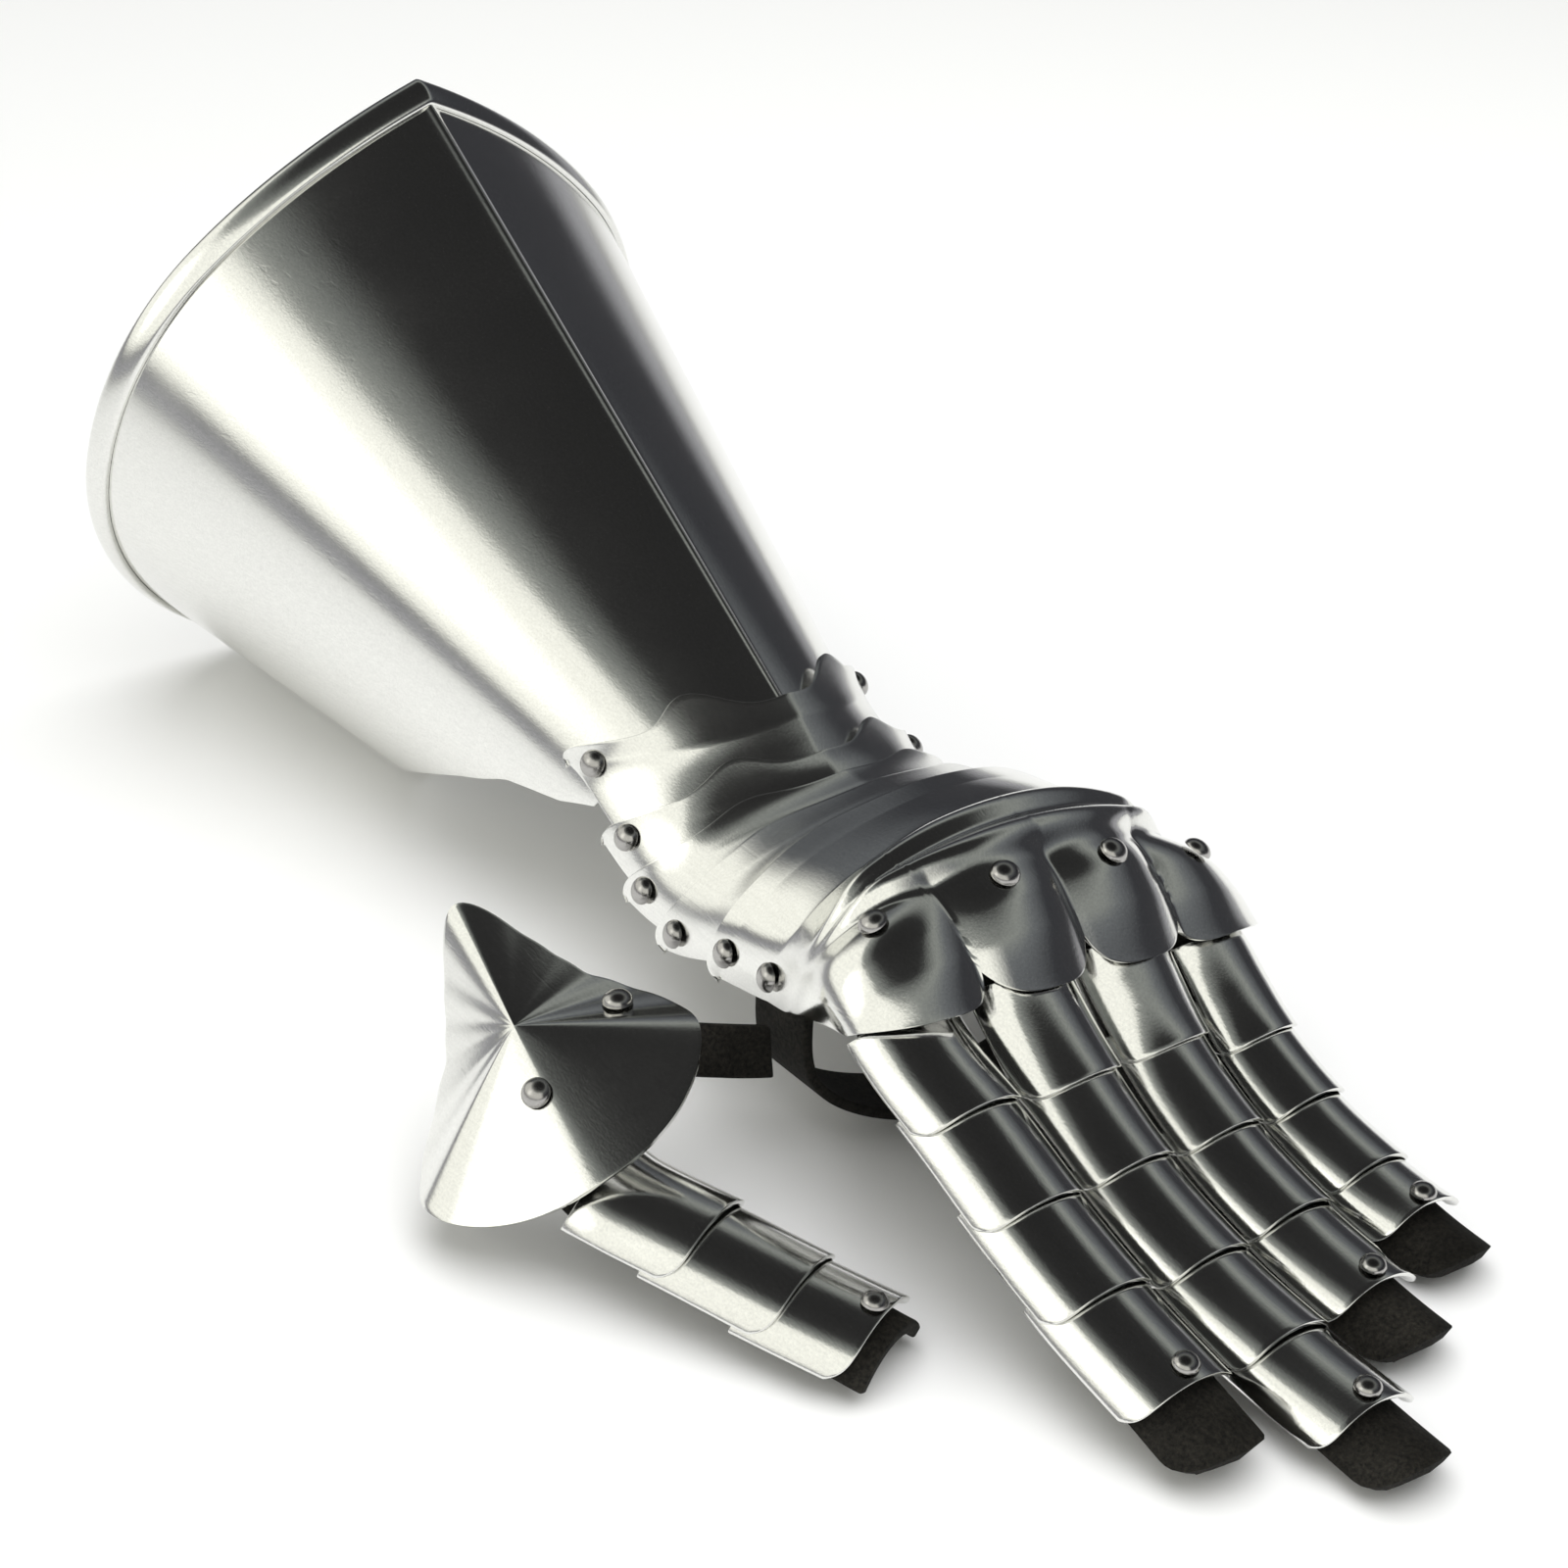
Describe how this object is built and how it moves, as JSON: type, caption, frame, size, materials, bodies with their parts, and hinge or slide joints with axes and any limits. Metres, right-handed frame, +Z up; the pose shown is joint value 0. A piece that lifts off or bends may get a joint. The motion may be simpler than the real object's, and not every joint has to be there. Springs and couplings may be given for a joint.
{
  "type": "armoured gauntlet",
  "caption": "Steel plate gauntlet for the left hand: flared cuff, sliding wrist lames, knuckle plate, scaled fingers and a shell over the thumb, on leather strips.",
  "frame": {"origin": "middle of the bounding box, on the surface that the gauntlet lies on", "axes": "+X to the fingertips, +Y to the little finger's side, +Z up"},
  "size_m": [0.438, 0.216, 0.171],
  "materials": {
    "steel": "polished plate, finely brushed and scratched",
    "rivet_steel": "domed rivets, darker and duller than the plates",
    "leather": "thick black-brown leather, rough, dull"
  },
  "bodies": {
    "cuff": {"cuff": "steel"},
    "wrist_lame_1": {"wrist_lame_1": "steel", "rivet_wrist_1_thumb_side": "rivet_steel", "rivet_wrist_1_little_side": "rivet_steel"},
    "wrist_lame_2": {"wrist_lame_2": "steel", "rivet_wrist_2_thumb_side": "rivet_steel", "rivet_wrist_2_little_side": "rivet_steel"},
    "wrist_lame_3": {"wrist_lame_3": "steel", "rivet_wrist_3_thumb_side": "rivet_steel", "rivet_wrist_3_little_side": "rivet_steel"},
    "wrist_lame_4": {"wrist_lame_4": "steel", "rivet_wrist_4_thumb_side": "rivet_steel", "rivet_wrist_4_little_side": "rivet_steel"},
    "hand": {"hand_plate": "steel", "palm_strap": "leather", "thumb_guard": "steel", "thumb_strap": "leather", "rivet_wrist_5_thumb_side": "rivet_steel", "rivet_wrist_5_little_side": "rivet_steel", "rivet_wrist_6_thumb_side": "rivet_steel", "rivet_wrist_6_little_side": "rivet_steel", "rivet_guard_front": "rivet_steel", "rivet_guard_side": "rivet_steel", "rivet_index_knuckle": "rivet_steel", "rivet_middle_knuckle": "rivet_steel", "rivet_ring_knuckle": "rivet_steel", "rivet_little_knuckle": "rivet_steel", "rivet_index_tip": "rivet_steel", "rivet_middle_tip": "rivet_steel", "rivet_ring_tip": "rivet_steel", "rivet_little_tip": "rivet_steel", "rivet_thumb_tip": "rivet_steel", "index_leather": "leather", "middle_leather": "leather", "ring_leather": "leather", "little_leather": "leather", "thumb_leather": "leather", "index_scale_1": "steel", "index_scale_2": "steel", "index_scale_3": "steel", "index_scale_4": "steel", "middle_scale_1": "steel", "middle_scale_2": "steel", "middle_scale_3": "steel", "middle_scale_4": "steel", "middle_scale_5": "steel", "ring_scale_1": "steel", "ring_scale_2": "steel", "ring_scale_3": "steel", "ring_scale_4": "steel", "little_scale_1": "steel", "little_scale_2": "steel", "little_scale_3": "steel", "little_scale_4": "steel", "thumb_scale_1": "steel", "thumb_scale_2": "steel", "thumb_scale_3": "steel"}
  },
  "joints": [
    {"name": "wrist_hinge_1", "type": "hinge", "parent": "cuff", "child": "wrist_lame_1", "pos_m": [-0.02995, 0.02432, 0.05092], "axis": [0, 1, 0], "range_deg": [-5, 4]},
    {"name": "wrist_hinge_2", "type": "hinge", "parent": "wrist_lame_1", "child": "wrist_lame_2", "pos_m": [-0.01095, 0.02432, 0.04092], "axis": [0, 1, 0], "range_deg": [-5, 3]},
    {"name": "wrist_hinge_3", "type": "hinge", "parent": "wrist_lame_2", "child": "wrist_lame_3", "pos_m": [0.00105, 0.02432, 0.03392], "axis": [0, 1, 0], "range_deg": [-5, 0.5]},
    {"name": "wrist_hinge_4", "type": "hinge", "parent": "wrist_lame_3", "child": "wrist_lame_4", "pos_m": [0.01805, 0.02432, 0.03242], "axis": [0, 1, 0], "range_deg": [-5, 0.5]},
    {"name": "wrist_hinge_5", "type": "hinge", "parent": "wrist_lame_4", "child": "hand", "pos_m": [0.04005, 0.02432, 0.03992], "axis": [0, 1, 0], "range_deg": [-5, 2]}
  ]
}
